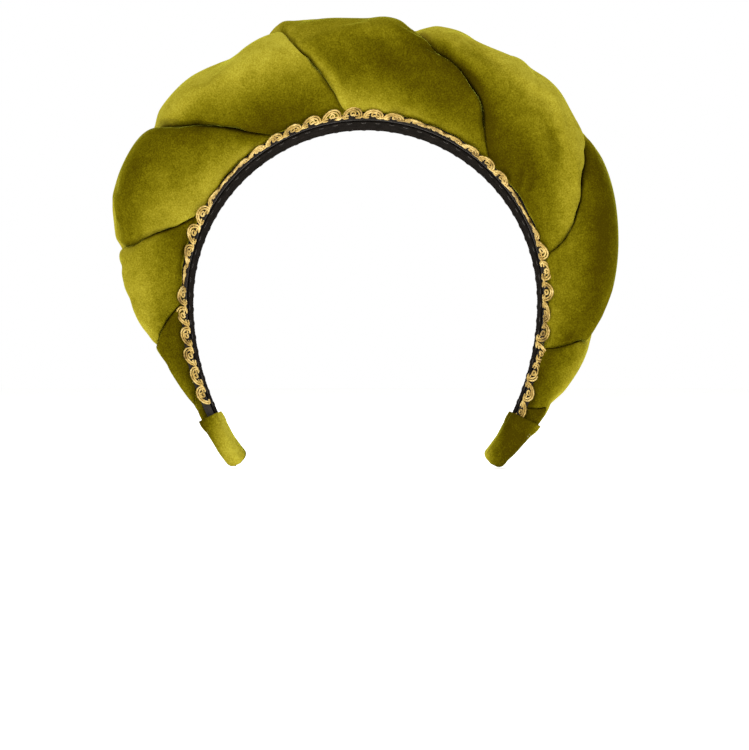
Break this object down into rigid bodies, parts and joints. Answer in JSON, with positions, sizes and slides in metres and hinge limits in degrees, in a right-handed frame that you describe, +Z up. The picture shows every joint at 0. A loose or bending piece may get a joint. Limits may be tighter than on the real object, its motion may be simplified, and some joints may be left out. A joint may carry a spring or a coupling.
{
  "type": "twisted velvet headband",
  "caption": "Padded halo headband of two stuffed velvet strands twisted together on a covered spring band, edged with gold gimp braid.",
  "frame": {"origin": "centre of the crown arc of the head line, in the band's middle plane", "axes": "+X towards the right as seen from the front, +Y towards the back of the head, +Z up through the crown"},
  "size_m": [0.2123, 0.0517, 0.1936],
  "materials": {
    "spring_band": "plain moulded strip, hidden inside its cover",
    "cover_satin": "black satin",
    "lining": "black grosgrain ribbon with fine cross ribs",
    "black_thread": "polyester thread",
    "velvet": "short-pile velvet in olive chartreuse, light or dark with the lay of the pile",
    "filling": "white polyester fibre filling",
    "green_thread": "olive polyester thread",
    "gold_gimp": "twisted antique-gold cord"
  },
  "bodies": {
    "root": {"spring_band": "spring_band", "band_cover": "cover_satin", "lining_ribbon": "lining", "lining_stitches": "black_thread", "strand_a_velvet": "velvet", "strand_b_velvet": "velvet", "strand_a_filling": "filling", "strand_b_filling": "filling", "tacking_stitches": "green_thread", "end_lashing_left": "green_thread", "end_lashing_right": "green_thread", "end_wrap_left": "velvet", "end_wrap_right": "velvet", "gimp_outer_scrolls": "gold_gimp", "gimp_inner_curls": "gold_gimp", "gimp_links": "gold_gimp"}
  },
  "joints": []
}
